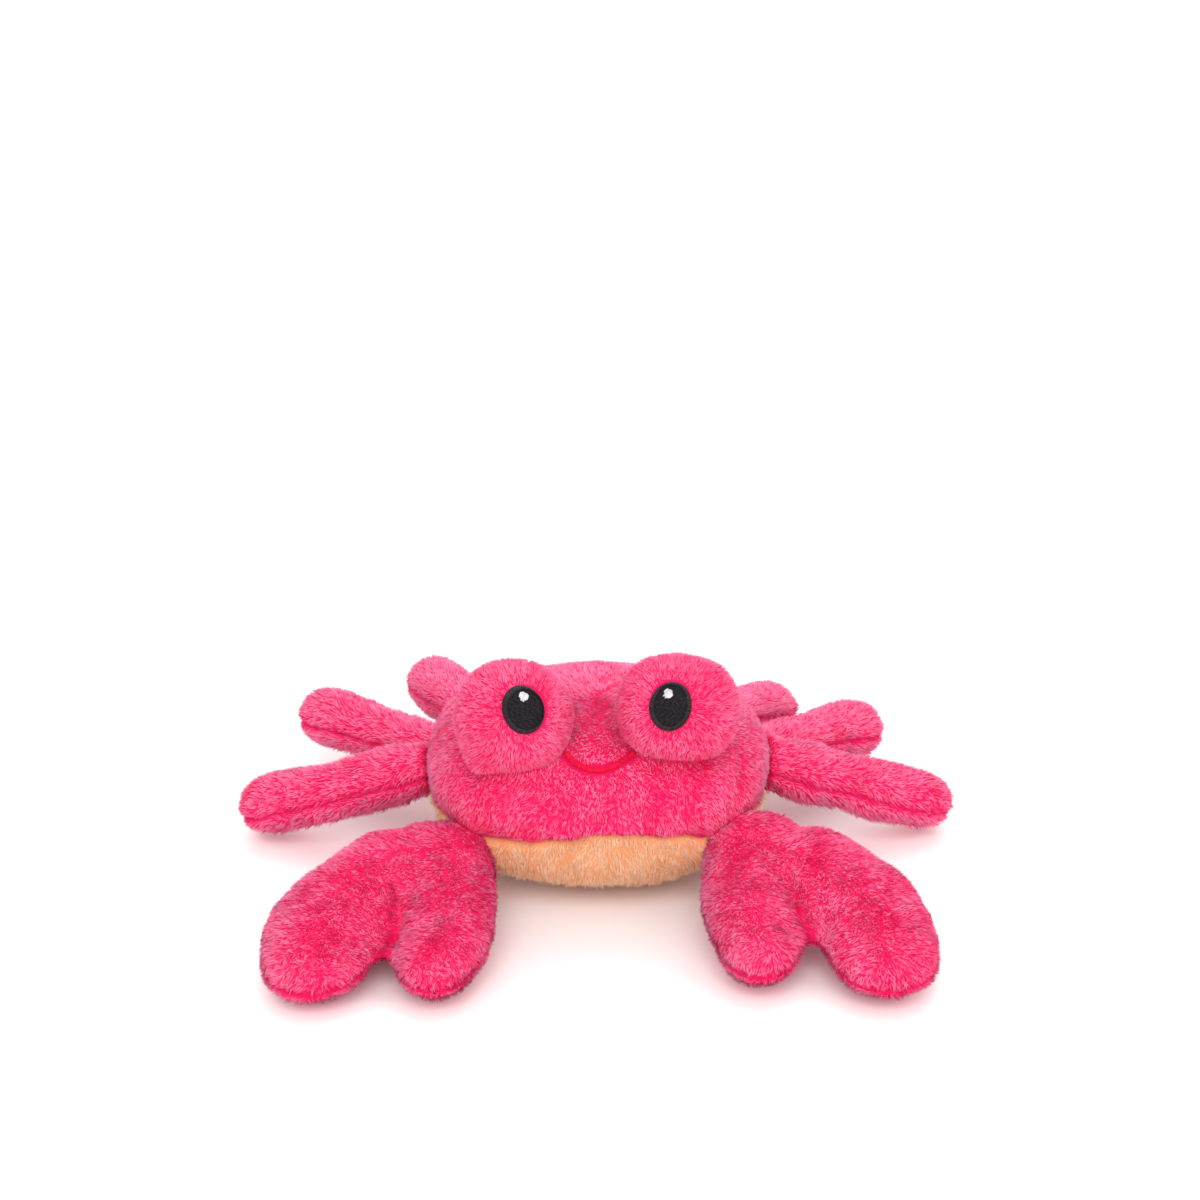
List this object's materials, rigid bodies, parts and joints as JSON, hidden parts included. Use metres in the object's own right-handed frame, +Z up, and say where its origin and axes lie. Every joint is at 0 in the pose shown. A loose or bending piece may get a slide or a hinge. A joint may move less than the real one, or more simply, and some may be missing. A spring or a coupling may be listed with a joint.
{
  "type": "plush crab",
  "caption": "Stuffed plush crab lying on its belly, with a pink shell, a peach belly, round eye mounds, an embroidered face, mitten claws and sausage legs",
  "frame": {"origin": "centre of the flat patch of the belly that lies on the floor, under the middle of the body", "axes": "+X to the right of the picture, across the front legs; the crab faces -Y; +Z up"},
  "size_m": [0.1806, 0.1624, 0.0656],
  "materials": {
    "pink_plush": "short dense polyester pile, brushed along each limb",
    "peach_plush": "short dense polyester pile",
    "black_thread": "filled machine embroidery with a satin stitched border",
    "white_thread": "satin stitch embroidery",
    "red_thread": "satin stitch embroidery"
  },
  "bodies": {
    "root": {"shell": "pink_plush", "belly_panel": "peach_plush", "eye_mound_left": "pink_plush", "eye_mound_right": "pink_plush", "eye_embroidery_left": "black_thread", "eye_embroidery_right": "black_thread", "eye_highlight_left": "white_thread", "eye_highlight_right": "white_thread", "mouth_stitch": "red_thread", "claw_left": "pink_plush", "claw_right": "pink_plush", "leg_front_left": "pink_plush", "leg_middle_left": "pink_plush", "leg_rear_left": "pink_plush", "leg_front_right": "pink_plush", "leg_middle_right": "pink_plush", "leg_rear_right": "pink_plush"}
  },
  "joints": []
}
